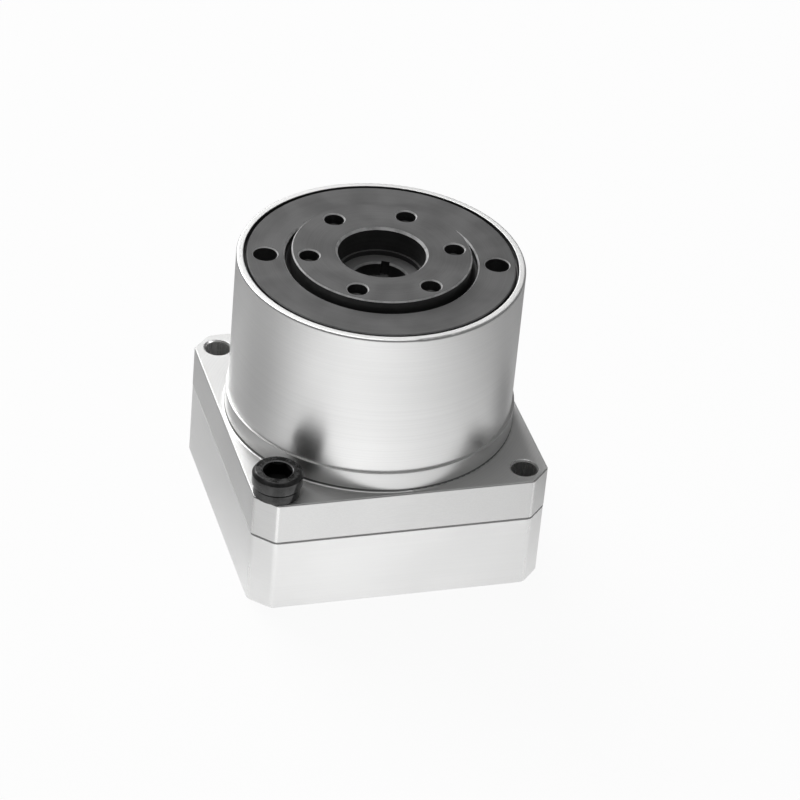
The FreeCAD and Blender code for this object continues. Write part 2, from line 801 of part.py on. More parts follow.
def make_flexible_bearing():
    section = doc.addObject("Part::Circle", "TrackSection")
    bind(section, "Radius", "flex_ball_radius + track_clearance")
    section.Placement.Rotation = FreeCAD.Rotation(FreeCAD.Vector(1, 0, 0), -QUARTER_TURN)
    bind(section, "Placement.Base.x", "flex_ball_pitch_radius + tooth_module")
    bind(section, "Placement.Base.z", SPLINE_MIDDLE)
    track = doc.addObject("Part::Sweep", "Track")
    track.Sections = [section]
    track.Spine = (waved_circle("flex_ball_pitch_radius", SPLINE_MIDDLE), ["Edge1"])
    track.Solid = True
    track.Frenet = True
    inner = waved_ring("flex_inner_race_radius", "plug_radius", SPLINE_BOTTOM, "spline_width")
    as_piece(cut(inner, track), "flex_bearing_inner_race")
    outer = waved_ring("flex_outer_race_radius", "flex_outer_race_bore", SPLINE_BOTTOM, "spline_width")
    as_piece(cut(outer, track), "flex_bearing_outer_race")
    place = ("flex_ball_pitch_radius", SPLINE_MIDDLE, dims.flex_ball_count, "tooth_module")
    as_piece(ball_ring("flex_ball_radius", *place), "flex_bearing_balls")
    cage = waved_ring("(flex_ball_pitch_radius + flex_cage_half_wall)",
                      "(flex_ball_pitch_radius - flex_cage_half_wall)",
                      f"{SPLINE_MIDDLE} - flex_cage_half_height", "2 * flex_cage_half_height")
    pockets = cage_pockets("flex_ball_radius + track_clearance", "flex_ball_radius", *place)
    as_piece(cut(cage, pockets), "flex_bearing_cage")


# Teeth: straight-sided, 102 inside the fixed ring and 100 outside the cup. The cup's pitch line
# follows the wave generator, so its teeth reach full depth only at the two ends of the oval.
FLANK_SLOPE = math.tan(math.radians(30))
CUP_TIP, CUP_ROOT = 0.6, -0.8
RING_TIP, RING_ROOT = -0.55, 0.8
BACKLASH = 0.025


def waved_frame(angle, radius, wave):
    """Point, tangent and outward normal of the bent pitch line, for an angle on the round one."""
    bent = angle - wave / (2 * radius) * math.sin(2 * angle)
    reach = radius + wave * math.cos(2 * bent)
    lean = math.atan2(-2 * wave * math.sin(2 * bent), reach)
    outward = FreeCAD.Vector(math.cos(bent), math.sin(bent), 0)
    around = FreeCAD.Vector(-math.sin(bent), math.cos(bent), 0)
    tangent = around * math.cos(lean) + outward * math.sin(lean)
    normal = outward * math.cos(lean) - around * math.sin(lean)
    return outward * reach, tangent, normal


def toothed_prism(teeth, low, high, wave, half_width):
    """Prism whose outline has one trapezoid a pitch, narrow at the outside, between two heights."""
    module = dims.tooth_module
    radius = module * teeth / 2
    corners = []
    for i in range(teeth):
        point, tangent, normal = waved_frame(2 * math.pi * i / teeth, radius, wave)
        for side, level in ((-1, low), (-1, high), (1, high), (1, low)):
            width = half_width - level * module * FLANK_SLOPE
            corners.append(point + tangent * side * width + normal * level * module)
    corners.append(corners[0])
    prism = Part.Face(Part.makePolygon(corners)).extrude(FreeCAD.Vector(0, 0, dims.spline_width))
    solid = doc.addObject("Part::Feature", "ToothedPrism")
    solid.Shape = prism
    solid.Placement.Base.z = dims.spline_top - dims.spline_width
    return solid


def make_circular_spline():
    quarter_pitch = math.pi * dims.tooth_module / 4
    spaces = toothed_prism(dims.ring_teeth, RING_TIP, RING_ROOT, 0, quarter_pitch)
    ring = cut(cylinder("spline_radius - spline_play", SPLINE_BOTTOM, "spline_width"), spaces)
    holes = cylinder_ring("m3_clear_radius", "spline_screw_pitch_radius", SPLINE_BOTTOM,
                          "spline_width", dims.spline_screw_count)
    as_piece(cut(ring, holes), "circular_spline")
    cap_screws("circular_spline_screws", SPLINE_BOTTOM, "spline_top + spline_screw_reach",
               ("m3_head_radius", "m3_head_height"), "m3_screw_radius", "m3_socket_radius",
               "spline_screw_pitch_radius", "spline_screw_count", heads_down=True)


# Flexspline: thin steel cup, oval at its toothed mouth and round at its floor
def cup_loft(radius, top):
    """Solid from the oval mouth of the cup to a round section."""
    upper = doc.addObject("Part::Circle", "CupTop")
    bind(upper, "Radius", radius)
    bind(upper, "Placement.Base.z", top)
    loft = doc.addObject("Part::Loft", "CupLoft")
    loft.Sections = [waved_circle(radius, "spline_top"), upper]
    loft.Solid = True
    loft.Ruled = True
    return loft


def make_flexspline():
    quarter_pitch = math.pi * dims.tooth_module / 4
    teeth = toothed_prism(dims.cup_teeth, CUP_ROOT, CUP_TIP, dims.tooth_module,
                          quarter_pitch - BACKLASH)
    rim = cut(teeth, waved_disc("cup_bore_radius", SPLINE_BOTTOM, "spline_width"))
    wall = cut(cup_loft("cup_bore_radius + cup_wall", "cup_floor_top"),
               cup_loft("cup_bore_radius", CUP_FLOOR_BOTTOM))
    boss_height = f"output_bottom - {CUP_FLOOR_BOTTOM}"
    boss = cylinder("cup_boss_radius", CUP_FLOOR_BOTTOM, boss_height)
    cup = fuse(fuse(rim, wall), boss)
    bore = cylinder("output_hole_radius", CUP_FLOOR_BOTTOM, boss_height)
    holes = cylinder_ring("m3_clear_radius", "cup_screw_pitch_radius", CUP_FLOOR_BOTTOM, boss_height,
                          dims.cup_screw_count)
    as_piece(cut(cut(cup, bore), holes), "flexspline")
    clamp = turned("flexspline_clamp_ring", [
        ("output_hole_radius", CUP_CLAMP_BOTTOM),
        ("cup_boss_radius", CUP_CLAMP_BOTTOM),
        ("cup_boss_radius", CUP_FLOOR_BOTTOM),
        ("output_hole_radius", CUP_FLOOR_BOTTOM),
    ])
    drill(clamp, "m3_clear_radius", "cup_screw_pitch_radius", CUP_FLOOR_BOTTOM,
          "cup_clamp_thickness", "cup_screw_count")
    cap_screws("flexspline_screws", CUP_CLAMP_BOTTOM, "output_bottom + cup_screw_reach",
               ("m3_head_radius", "m3_head_height"), "m3_screw_radius", "m3_socket_radius",
               "cup_screw_pitch_radius", "cup_screw_count", heads_down=True)


# Crossed roller bearing: rollers lie by turns on the two slopes of a square track
ROLLER_TRACK = "((roller_radius + roller_clearance) * sqrt(2))"


def make_roller_bearing():
    apex = f"(roller_pitch_radius + {ROLLER_TRACK})"
    slope = f"({apex} - bearing_outer_bore)"
    for label, flat, side in (("lower_bearing_ring", "bearing_bottom", "-"),
                              ("upper_bearing_ring", BEARING_TOP, "+")):
        turned(label, [
            ("bearing_outer_bore", flat),
            ("bearing_radius", flat),
            ("bearing_radius", BEARING_MIDDLE),
            (apex, BEARING_MIDDLE),
            ("bearing_outer_bore", f"{BEARING_MIDDLE} {side} {slope}"),
        ])
    middle = dims.bearing_bottom + dims.bearing_width / 2
    rollers = []
    for i, angle in enumerate(steps(dims.roller_count)):
        roller = doc.addObject("Part::Cylinder", "Roller")
        bind(roller, "Radius", "roller_radius")
        bind(roller, "Height", "roller_length")
        out = FreeCAD.Vector(math.cos(math.radians(angle)), math.sin(math.radians(angle)), 0)
        lie = out + FreeCAD.Vector(0, 0, 1 if i % 2 else -1)
        lie.normalize()
        centre = out * dims.roller_pitch_radius + FreeCAD.Vector(0, 0, middle)
        turn_up = FreeCAD.Rotation(FreeCAD.Vector(0, 0, 1), lie)
        roller.Placement = FreeCAD.Placement(centre - lie * dims.roller_length / 2, turn_up)
        rollers.append(roller)
    as_piece(group(rollers), "crossed_rollers")


# Lock ring with two spanner holes, and the lip seal inside it
def make_lock_ring():
    ring = turned("lock_ring", [
        ("lock_ring_bore", BEARING_TOP),
        ("lock_ring_radius", BEARING_TOP),
        ("lock_ring_radius", "barrel_top - lock_neck_height"),
        ("lock_neck_radius", "barrel_top - lock_neck_height"),
        ("lock_neck_radius", "barrel_top - lock_ring_chamfer"),
        ("lock_neck_radius - lock_ring_chamfer", "barrel_top"),
        ("lock_ring_bore + lock_ring_inner_chamfer", "barrel_top"),
        ("lock_ring_bore", "barrel_top - lock_ring_inner_chamfer"),
    ])
    drill(ring, "spanner_hole_radius", "spanner_pitch_radius", "barrel_top", "spanner_depth",
          "spanner_hole_count", "spanner_angle")
    break_edges(ring, round_edge(dims.spanner_hole_radius, dims.barrel_top), "edge_break")
    turned("output_seal", [
        ("output_radius + seal_gap", "seal_bottom"),
        ("lock_ring_bore - seal_play", "seal_bottom"),
        ("lock_ring_bore - seal_play", "seal_top"),
        ("output_radius + seal_gap + seal_lip", "seal_top"),
        ("output_radius + seal_gap", "seal_top - seal_lip"),
    ])


# Output flange: the black disc with six tapped holes, in one piece with the bearing's inner ring
def make_output_flange():
    apex = f"(roller_pitch_radius - {ROLLER_TRACK})"
    slope = f"(bearing_inner_radius - {apex})"
    body = turned("output_flange", [
        ("output_hole_radius", "output_bottom"),
        ("bearing_inner_radius", "output_bottom"),
        ("bearing_inner_radius", f"{BEARING_MIDDLE} - {slope}"),
        (apex, BEARING_MIDDLE),
        ("bearing_inner_radius", f"{BEARING_MIDDLE} + {slope}"),
        ("bearing_inner_radius", f"{BEARING_TOP} - output_shoulder_gap"),
        ("output_radius", f"{BEARING_TOP} - output_shoulder_gap"),
        ("output_radius", "output_top - output_chamfer"),
        ("output_radius - output_chamfer", "output_top"),
        ("output_bore_radius + output_bore_chamfer", "output_top"),
        ("output_bore_radius", "output_top - output_bore_chamfer"),
        ("output_bore_radius", OUTPUT_LEDGE),
        ("output_step_radius", OUTPUT_LEDGE),
        ("output_step_radius", OUTPUT_FLOOR),
        ("keyed_hole_radius + keyed_hole_chamfer", OUTPUT_FLOOR),
        ("keyed_hole_radius", f"{OUTPUT_FLOOR} - keyed_hole_chamfer"),
        ("keyed_hole_radius", f"{OUTPUT_FLOOR} - keyed_hole_depth"),
        ("output_hole_radius", f"{OUTPUT_FLOOR} - keyed_hole_depth"),
    ])
    keyway = [
        ("0", "-keyway_width / 2"),
        ("keyed_hole_radius + keyway_depth", "-keyway_width / 2"),
        ("keyed_hole_radius + keyway_depth", "keyway_width / 2"),
        ("0", "keyway_width / 2"),
    ]
    pocket(body, outline(new_sketch(body, "XY_Plane", OUTPUT_FLOOR, "keyway_angle"), keyway),
           "keyed_hole_depth")
    drill(body, "output_bolt_radius", "output_bolt_pitch_radius", "output_top", "output_bolt_depth",
          "output_bolt_count", "output_bolt_angle")
    drill(body, "m3_core_radius", "cup_screw_pitch_radius", "output_bottom", "cup_thread_depth",
          "cup_screw_count", upward=True)
    break_edges(body, round_edge(dims.output_bolt_radius, dims.output_top), "output_bolt_chamfer")


def check_and_write():
    """Stops on any failed object or bad solid, and then writes one file a piece."""
    doc.recompute()
    failed = [thing.Label for thing in doc.Objects if {"Invalid", "Error"} & set(thing.State)]
    for piece in pieces:
        if piece.Shape.isNull() or not piece.Shape.isValid() or not piece.Shape.Solids:
            failed.append(piece.Label)
    if failed:
        raise RuntimeError("no valid solid in " + ", ".join(failed))
    os.makedirs("parts", exist_ok=True)
    for piece in pieces:
        piece.Shape.exportStep(f"parts/{piece.Label}.step")
        print(f"{piece.Label}: {len(piece.Shape.Solids)} solid, {piece.Shape.Volume:.1f} mm3")


fill_sheet()
make_housing()
make_motor_adapter()
make_fixings()
make_access_plug()
make_input_bearing()
make_bearing_circlip()
make_input_hub()
make_wave_generator()
make_flexible_bearing()
make_circular_spline()
make_flexspline()
make_roller_bearing()
make_lock_ring()
make_output_flange()
check_and_write()
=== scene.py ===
# A compact strain wave gearbox: square aluminium flange, round barrel and a black output flange on top.
# The solids of the gearbox are loaded as they are; its visible screws and cut threads are modelled here.
import math

import bpy
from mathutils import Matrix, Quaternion, Vector


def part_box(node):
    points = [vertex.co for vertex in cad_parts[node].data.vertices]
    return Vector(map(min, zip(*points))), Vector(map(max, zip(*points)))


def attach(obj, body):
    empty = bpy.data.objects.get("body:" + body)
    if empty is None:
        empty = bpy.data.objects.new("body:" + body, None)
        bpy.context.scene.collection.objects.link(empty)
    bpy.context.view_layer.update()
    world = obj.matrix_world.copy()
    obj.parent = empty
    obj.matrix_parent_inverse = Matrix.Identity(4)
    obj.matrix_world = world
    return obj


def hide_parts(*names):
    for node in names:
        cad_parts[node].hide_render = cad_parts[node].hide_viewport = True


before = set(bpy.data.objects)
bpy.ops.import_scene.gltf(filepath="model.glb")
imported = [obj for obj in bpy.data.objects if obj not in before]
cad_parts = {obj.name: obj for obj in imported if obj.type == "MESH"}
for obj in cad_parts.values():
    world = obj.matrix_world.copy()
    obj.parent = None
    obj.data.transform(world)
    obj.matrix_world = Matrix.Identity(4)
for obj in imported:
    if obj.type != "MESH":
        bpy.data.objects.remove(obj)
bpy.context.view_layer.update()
bpy.context.scene.view_settings.view_transform = "Standard"

# Motor adapter: the lower square block, which takes the motor's pilot and screws from below.
# Aluminium, milled on all sides, then blasted to a pale satin and clear anodised.
MM = 0.001


def feed(tree, socket, value):
    """Link a node's output to the socket, or write a plain value there."""
    if isinstance(value, bpy.types.NodeSocket):
        tree.links.new(value, socket)
    else:
        socket.default_value = value


def reckon(tree, operation, first, second=0.0):
    node = tree.nodes.new("ShaderNodeMath")
    node.operation = operation
    feed(tree, node.inputs[0], first)
    feed(tree, node.inputs[1], second)
    return node.outputs[0]


def times(tree, first, second):
    return reckon(tree, "MULTIPLY", first, second)


def weighed(tree, first, first_share, second, second_share):
    """Two marks laid over each other, each with its share."""
    return reckon(tree, "ADD", times(tree, first, first_share), times(tree, second, second_share))


def between(tree, value, start_at, end_at, low, high):
    """Goes smoothly from low to high while the value goes from start_at to end_at."""
    node = tree.nodes.new("ShaderNodeMapRange")
    node.interpolation_type = "SMOOTHSTEP"
    for socket, setting in zip(node.inputs, (value, start_at, end_at, low, high)):
        feed(tree, socket, setting)
    return node.outputs[0]


def varied(tree, mark, low, high):
    """Goes from low, where the mark is missing, to high, where it is full."""
    return between(tree, mark, 0.0, 1.0, low, high)


def on_the_piece(tree):
    return tree.nodes.new("ShaderNodeTexCoord").outputs["Object"]


def noise(tree, vector, scale, detail=2.0):
    node = tree.nodes.new("ShaderNodeTexNoise")
    feed(tree, node.inputs["Vector"], vector)
    feed(tree, node.inputs["Scale"], scale)
    node.inputs["Detail"].default_value = detail
    return node.outputs[0]


NOISE_LOW = 0.3
NOISE_HIGH = 0.7


def as_mark(tree, pattern):
    """The middle of a noise's range spread out from 0 to 1."""
    return between(tree, pattern, NOISE_LOW, NOISE_HIGH, 0.0, 1.0)


def vector_node(tree, operation, first, second=(0, 0, 0)):
    node = tree.nodes.new("ShaderNodeVectorMath")
    node.operation = operation
    feed(tree, node.inputs[0], first)
    feed(tree, node.inputs[1], second)
    return node.outputs


def parts_of(tree, vector):
    node = tree.nodes.new("ShaderNodeSeparateXYZ")
    tree.links.new(vector, node.inputs[0])
    return node.outputs


def made_of(tree, x, y, z=0.0):
    node = tree.nodes.new("ShaderNodeCombineXYZ")
    for socket, part in zip(node.inputs, (x, y, z)):
        feed(tree, socket, part)
    return node.outputs[0]


def facing(tree, normal):
    return parts_of(tree, tree.nodes.new("ShaderNodeNewGeometry").outputs[normal])


def effect(name, **inputs):
    """Node group that puts out one mark; returns the group, its inputs by name and the mark's socket."""
    group = bpy.data.node_groups.new(name, "ShaderNodeTree")
    for label, value in inputs.items():
        socket = group.interface.new_socket(label, in_out="INPUT", socket_type="NodeSocketFloat")
        socket.default_value = value
    group.interface.new_socket("Mark", in_out="OUTPUT", socket_type="NodeSocketFloat")
    start = group.nodes.new("NodeGroupInput")
    return group, start.outputs, group.nodes.new("NodeGroupOutput").inputs["Mark"]


def mark_from(tree, group, **values):
    """Mark of an effect that is placed in a material, or in another effect, with its own values."""
    node = tree.nodes.new("ShaderNodeGroup")
    node.node_tree = group
    for label, value in values.items():
        node.inputs[label].default_value = value
    return node.outputs["Mark"]


def new_finish(name, metallic, roughness):
    """Material; returns it with its node tree and the sockets of its surface."""
    finish = bpy.data.materials.new(name)
    finish.use_nodes = True
    surface = finish.node_tree.nodes["Principled BSDF"].inputs
    surface["Metallic"].default_value = metallic
    surface["Roughness"].default_value = roughness
    return finish, finish.node_tree, surface


def colour(red, green, blue):
    return (red, green, blue, 1.0)


def two_tones(tree, factor, low, high):
    node = tree.nodes.new("ShaderNodeMix")
    node.data_type = "RGBA"
    feed(tree, node.inputs["Factor"], factor)
    feed(tree, node.inputs["A"], low)
    feed(tree, node.inputs["B"], high)
    return node.outputs["Result"]


def relief(tree, height, depth, strength=0.5, under=None):
    """Normal of a surface with fine marks, over another normal where one is given."""
    node = tree.nodes.new("ShaderNodeBump")
    node.inputs["Strength"].default_value = strength
    node.inputs["Distance"].default_value = depth
    tree.links.new(height, node.inputs["Height"])
    if under:
        tree.links.new(under, node.inputs["Normal"])
    return node.outputs["Normal"]


def wear(finish, *names):
    for name in names:
        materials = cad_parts[name].data.materials
        materials.clear()
        materials.append(finish)


# blasted grain: fine, even in all directions
blasted, start, mark = effect("Blasted grain", Grains=9000.0)
fine = noise(blasted, on_the_piece(blasted), start["Grains"], detail=3.0)
blasted.links.new(as_mark(blasted, fine), mark)

# handling: broad cloudy patches, slightly duller or cleaner
handled, start, mark = effect("Handling", Patches=70.0)
cloud = noise(handled, on_the_piece(handled), start["Patches"], detail=4.0)
handled.links.new(as_mark(handled, cloud), mark)

# level faces: the ones that look straight up or down
NEARLY_LEVEL = 0.9
QUITE_LEVEL = 0.98
level_faces, start, mark = effect("Level faces")
upright = reckon(level_faces, "ABSOLUTE", facing(level_faces, "True Normal")["Z"])
level_faces.links.new(between(level_faces, upright, NEARLY_LEVEL, QUITE_LEVEL, 0.0, 1.0), mark)

# milled lines: level lines round the sides, and wide arcs of the face mill on the flat faces
MILL_PATH_CENTRE = (0.21, -0.13, 0.0)
MILL_DRIFT = 3.0
MILL_DRIFT_SCALE = 60.0
milled, start, mark = effect("Milled lines", Lines=5200.0)
spot = on_the_piece(milled)
path = milled.nodes.new("ShaderNodeMix")
milled.links.new(mark_from(milled, level_faces), path.inputs["Factor"])
milled.links.new(parts_of(milled, spot)["Z"], path.inputs["A"])
milled.links.new(vector_node(milled, "DISTANCE", spot, MILL_PATH_CENTRE)["Value"], path.inputs["B"])
across = times(milled, path.outputs["Result"], start["Lines"])
drift = times(milled, noise(milled, spot, MILL_DRIFT_SCALE), MILL_DRIFT)
strokes = noise(milled, made_of(milled, across, drift), 1.0)
milled.links.new(as_mark(milled, strokes), mark)

# rounded corners: the rounded upright corners between the side faces, polished by handling to a higher
# gloss; on the housing's plate this mask also paints a highlight line down each corner
ROUND_STARTS = (0.12, 0.25)
ROUND_ENDS = (0.42, 0.49)
corners, start, mark = effect("Rounded corners")
sideways = facing(corners, "Normal")
both_ways = reckon(corners, "ABSOLUTE", times(corners, sideways["X"], sideways["Y"]))
turned_in = between(corners, both_ways, *ROUND_STARTS, 0.0, 1.0)
turned_out = between(corners, both_ways, *ROUND_ENDS, 1.0, 0.0)
corners.links.new(times(corners, turned_in, turned_out), mark)

SATIN_TONES = colour(0.89, 0.89, 0.885), colour(0.93, 0.93, 0.925)
SATIN_ROUGHNESS = (0.32, 0.4)
SATIN_CORNER_GLOSS = 0.08
satin_aluminium, tree, surface = new_finish("satin_aluminium", metallic=0.8, roughness=0.42)
grain = mark_from(tree, blasted, Grains=8000.0)
lines = mark_from(tree, milled, Lines=4200.0)
patches = mark_from(tree, handled, Patches=60.0)
marks = weighed(tree, grain, 0.6, lines, 0.4)
tree.links.new(two_tones(tree, marks, *SATIN_TONES), surface["Base Color"])
gloss = times(tree, mark_from(tree, corners), SATIN_CORNER_GLOSS)
dull = varied(tree, patches, *SATIN_ROUGHNESS)
tree.links.new(reckon(tree, "SUBTRACT", dull, gloss), surface["Roughness"])
tree.links.new(relief(tree, marks, 0.004 * MM), surface["Normal"])
wear(satin_aluminium, "motor_adapter")


# Adapter seal and access plug: a nitrile O-ring in the adapter's spigot, and a push-in plastic
# cap that closes the hole to the clamp screw on the right side.
def grey(value):
    return colour(value, value, value)


RUBBER_TONES = grey(0.012), grey(0.026)
RUBBER_ROUGHNESS = (0.5, 0.68)
moulded_rubber, tree, surface = new_finish("moulded_rubber", metallic=0.0, roughness=0.6)
patches = mark_from(tree, handled, Patches=220.0)
grain = mark_from(tree, blasted, Grains=5000.0)
tree.links.new(two_tones(tree, patches, *RUBBER_TONES), surface["Base Color"])
tree.links.new(varied(tree, patches, *RUBBER_ROUGHNESS), surface["Roughness"])
tree.links.new(relief(tree, grain, 0.01 * MM), surface["Normal"])
wear(moulded_rubber, "adapter_o_ring")

CAP_TONES = grey(0.02), grey(0.03)
CAP_ROUGHNESS = (0.42, 0.56)
cap_plastic, tree, surface = new_finish("cap_plastic", metallic=0.0, roughness=0.5)
patches = mark_from(tree, handled, Patches=150.0)
grain = mark_from(tree, blasted, Grains=3600.0)
tree.links.new(two_tones(tree, patches, *CAP_TONES), surface["Base Color"])
tree.links.new(varied(tree, patches, *CAP_ROUGHNESS), surface["Roughness"])
tree.links.new(relief(tree, grain, 0.02 * MM, strength=0.6), surface["Normal"])
wear(cap_plastic, "access_plug")


# Input bearing: a shielded ball bearing in the adapter, held by a circlip. Rings and balls are
# ground and polished steel, the cage is moulded nylon, shields and circlip are plain steel.
def from_axis(tree):
    """Distance from the gearbox's upright axis."""
    flat = vector_node(tree, "MULTIPLY", on_the_piece(tree), (1, 1, 0))["Vector"]
    return vector_node(tree, "LENGTH", flat)["Value"]


# turned rings: fine grooves round the axis, on level faces and on round ones
WANDER_SCALE = 55.0
turned, start, mark = effect("Turned rings", Rings=5000.0, Wander=1.0)
spot = on_the_piece(turned)
out = times(turned, from_axis(turned), start["Rings"])
up = times(turned, parts_of(turned, spot)["Z"], start["Rings"])
wander = times(turned, noise(turned, spot, WANDER_SCALE), start["Wander"])
grooves = noise(turned, made_of(turned, out, up, wander), 1.0)
turned.links.new(as_mark(turned, grooves), mark)

BEARING_TONES = colour(0.58, 0.58, 0.59), colour(0.64, 0.64, 0.65)
BEARING_ROUGHNESS = (0.13, 0.22)
bearing_steel, tree, surface = new_finish("bearing_steel", metallic=1.0, roughness=0.16)
rings = mark_from(tree, turned, Rings=9000.0, Wander=0.6)
patches = mark_from(tree, handled, Patches=110.0)
tree.links.new(two_tones(tree, rings, *BEARING_TONES), surface["Base Color"])
tree.links.new(varied(tree, patches, *BEARING_ROUGHNESS), surface["Roughness"])
wear(bearing_steel, "input_bearing_outer_ring", "input_bearing_inner_ring", "input_bearing_balls")

STEEL_TONES = colour(0.44, 0.44, 0.45), colour(0.54, 0.54, 0.55)
STEEL_ROUGHNESS = (0.26, 0.38)
turned_steel, tree, surface = new_finish("turned_steel", metallic=1.0, roughness=0.32)
rings = mark_from(tree, turned, Rings=4500.0, Wander=1.0)
patches = mark_from(tree, handled, Patches=90.0)
tree.links.new(two_tones(tree, rings, *STEEL_TONES), surface["Base Color"])
tree.links.new(varied(tree, patches, *STEEL_ROUGHNESS), surface["Roughness"])
tree.links.new(relief(tree, rings, 0.006 * MM), surface["Normal"])
wear(turned_steel, "input_bearing_shields", "bearing_circlip")

NYLON_TONES = colour(0.55, 0.49, 0.38), colour(0.62, 0.57, 0.46)
nylon, tree, surface = new_finish("nylon", metallic=0.0, roughness=0.45)
patches = mark_from(tree, handled, Patches=160.0)
grain = mark_from(tree, blasted, Grains=3000.0)
tree.links.new(two_tones(tree, patches, *NYLON_TONES), surface["Base Color"])
tree.links.new(relief(tree, grain, 0.01 * MM, strength=0.4), surface["Normal"])
wear(nylon, "input_bearing_cage")

# Input hub: the clamp collar that grips the motor's shaft, and the shaft above it through the bearing.
# Turned steel, slit on one side and drawn together by a black clamp screw.
wear(turned_steel, "input_hub")

OXIDE_TONES = grey(0.03), grey(0.22)
OXIDE_ROUGHNESS = (0.13, 0.24)
OXIDE_PATCHES = 0.25
SCUFFS_FROM, SCUFFS_TO, SCUFFS = 0.3, 0.9, 0.5
black_oxide, tree, surface = new_finish("black_oxide", metallic=0.6, roughness=0.3)
patches = mark_from(tree, handled, Patches=400.0)
grain = mark_from(tree, blasted, Grains=6000.0)
scuffs = between(tree, mark_from(tree, handled, Patches=1000.0), SCUFFS_FROM, SCUFFS_TO, 0.0, SCUFFS)
worn_top = times(tree, scuffs, mark_from(tree, level_faces))
skin = reckon(tree, "ADD", times(tree, patches, OXIDE_PATCHES), worn_top)
tree.links.new(two_tones(tree, skin, *OXIDE_TONES), surface["Base Color"])
tree.links.new(varied(tree, patches, *OXIDE_ROUGHNESS), surface["Roughness"])
tree.links.new(relief(tree, grain, 0.006 * MM, strength=0.4), surface["Normal"])
wear(black_oxide, "clamp_screw")

# Wave generator: an oval steel plug on the hub's end, with a spacer below it and a washer and four
# screws above. It bends the thin ball bearing around it to its own oval.
wear(turned_steel, "wave_generator_spacer", "wave_generator_plug", "wave_generator_washer")
wear(black_oxide, "wave_generator_screws")
wear(bearing_steel, "flex_bearing_inner_race", "flex_bearing_outer_race", "flex_bearing_balls")
wear(nylon, "flex_bearing_cage")

# Gear pair: the fixed ring with teeth inside, of fine-grained iron, and the thin steel cup whose
# toothed mouth is pushed into it. Black screws hold the ring to the housing and the cup to the output.
IRON_TONES = colour(0.26, 0.26, 0.27), colour(0.36, 0.36, 0.37)
IRON_ROUGHNESS = (0.34, 0.46)
gear_iron, tree, surface = new_finish("gear_iron", metallic=1.0, roughness=0.4)
grain = mark_from(tree, blasted, Grains=4000.0)
rings = mark_from(tree, turned, Rings=3800.0, Wander=1.0)
marks = weighed(tree, grain, 0.5, rings, 0.5)
tree.links.new(two_tones(tree, marks, *IRON_TONES), surface["Base Color"])
tree.links.new(varied(tree, grain, *IRON_ROUGHNESS), surface["Roughness"])
tree.links.new(relief(tree, marks, 0.008 * MM), surface["Normal"])
wear(gear_iron, "circular_spline")
wear(turned_steel, "flexspline", "flexspline_clamp_ring")
wear(black_oxide, "circular_spline_screws", "flexspline_screws")

# Crossed roller bearing: two outer rings with a V groove between them and rollers that stand across
# each other, all of ground steel. It carries the output flange, whose own rim is the inner ring.
wear(bearing_steel, "lower_bearing_ring", "upper_bearing_ring", "crossed_rollers")

# Housing: flange plate with four corner holes, low pilot step and round barrel, from one block.
# Aluminium, the barrel turned to a fine smooth finish and the plate blasted duller, clear anodised.
# Shade is painted as a dark tone into the corner at the pilot's foot and onto the threaded mouth round
# the lock ring.
FLANGE_TOP = 25 * MM
FOOT_LINE = 25.4 * MM
FOOT_LINE_SPREAD = (0.1 * MM, 0.25 * MM)
PLATE_ENDS = (FLANGE_TOP, FLANGE_TOP + 0.1 * MM)
BARREL_STARTS = (29.5 * MM, 29.7 * MM)
MOUTH_WALL = (27.12 * MM, 27.17 * MM)
EDGE_ROUNDS = (0.18 * MM, 0.36 * MM)
EDGE_ROUND_CHANGES = (FOOT_LINE, FOOT_LINE + 1 * MM)
EDGE_SAMPLES = 8


def eased_edges(tree, radius):
    """Normal with the sharp edges eased to a small round."""
    node = tree.nodes.new("ShaderNodeBevel")
    node.samples = EDGE_SAMPLES
    tree.links.new(radius, node.inputs["Radius"])
    return node.outputs["Normal"]


HOUSING_TONES = colour(0.71, 0.71, 0.705), colour(0.89, 0.89, 0.885)
HOUSING_ROUGHNESS = (0.29, 0.35)
LEVEL_FACE_DULLING = 0.19
BARREL_POLISH = 0.75
CORNER_HIGHLIGHT = 0.6
CORNER_GLOSS = 0.18
MARKS_IN_TONE = 0.25
PAINTED_SHADE_TONE = grey(0.09)
PAINTED_SHADE_IN_FOOT = 0.8
PAINTED_SHADE_IN_MOUTH = 0.92
turned_aluminium, tree, surface = new_finish("turned_aluminium", metallic=0.85, roughness=0.33)
rings = mark_from(tree, turned, Rings=6500.0, Wander=0.8)
grain = mark_from(tree, blasted, Grains=9000.0)
patches = mark_from(tree, handled, Patches=45.0)
marks = weighed(tree, rings, 0.7, grain, 0.3)
height = parts_of(tree, on_the_piece(tree))["Z"]
on_barrel = between(tree, height, *BARREL_STARTS, 0.0, BARREL_POLISH)
on_plate = between(tree, height, *PLATE_ENDS, 1.0, 0.0)
# painted highlight: the plate's rounded corners are painted lighter, as a highlight line down each; the
# same mask also makes them glossier
plate_corner_highlight = times(tree, on_plate, times(tree, mark_from(tree, corners), CORNER_HIGHLIGHT))
polish_and_highlight = reckon(tree, "MAXIMUM", on_barrel, plate_corner_highlight)
lightness = reckon(tree, "ADD", polish_and_highlight, times(tree, marks, MARKS_IN_TONE))
metal = two_tones(tree, lightness, *HOUSING_TONES)
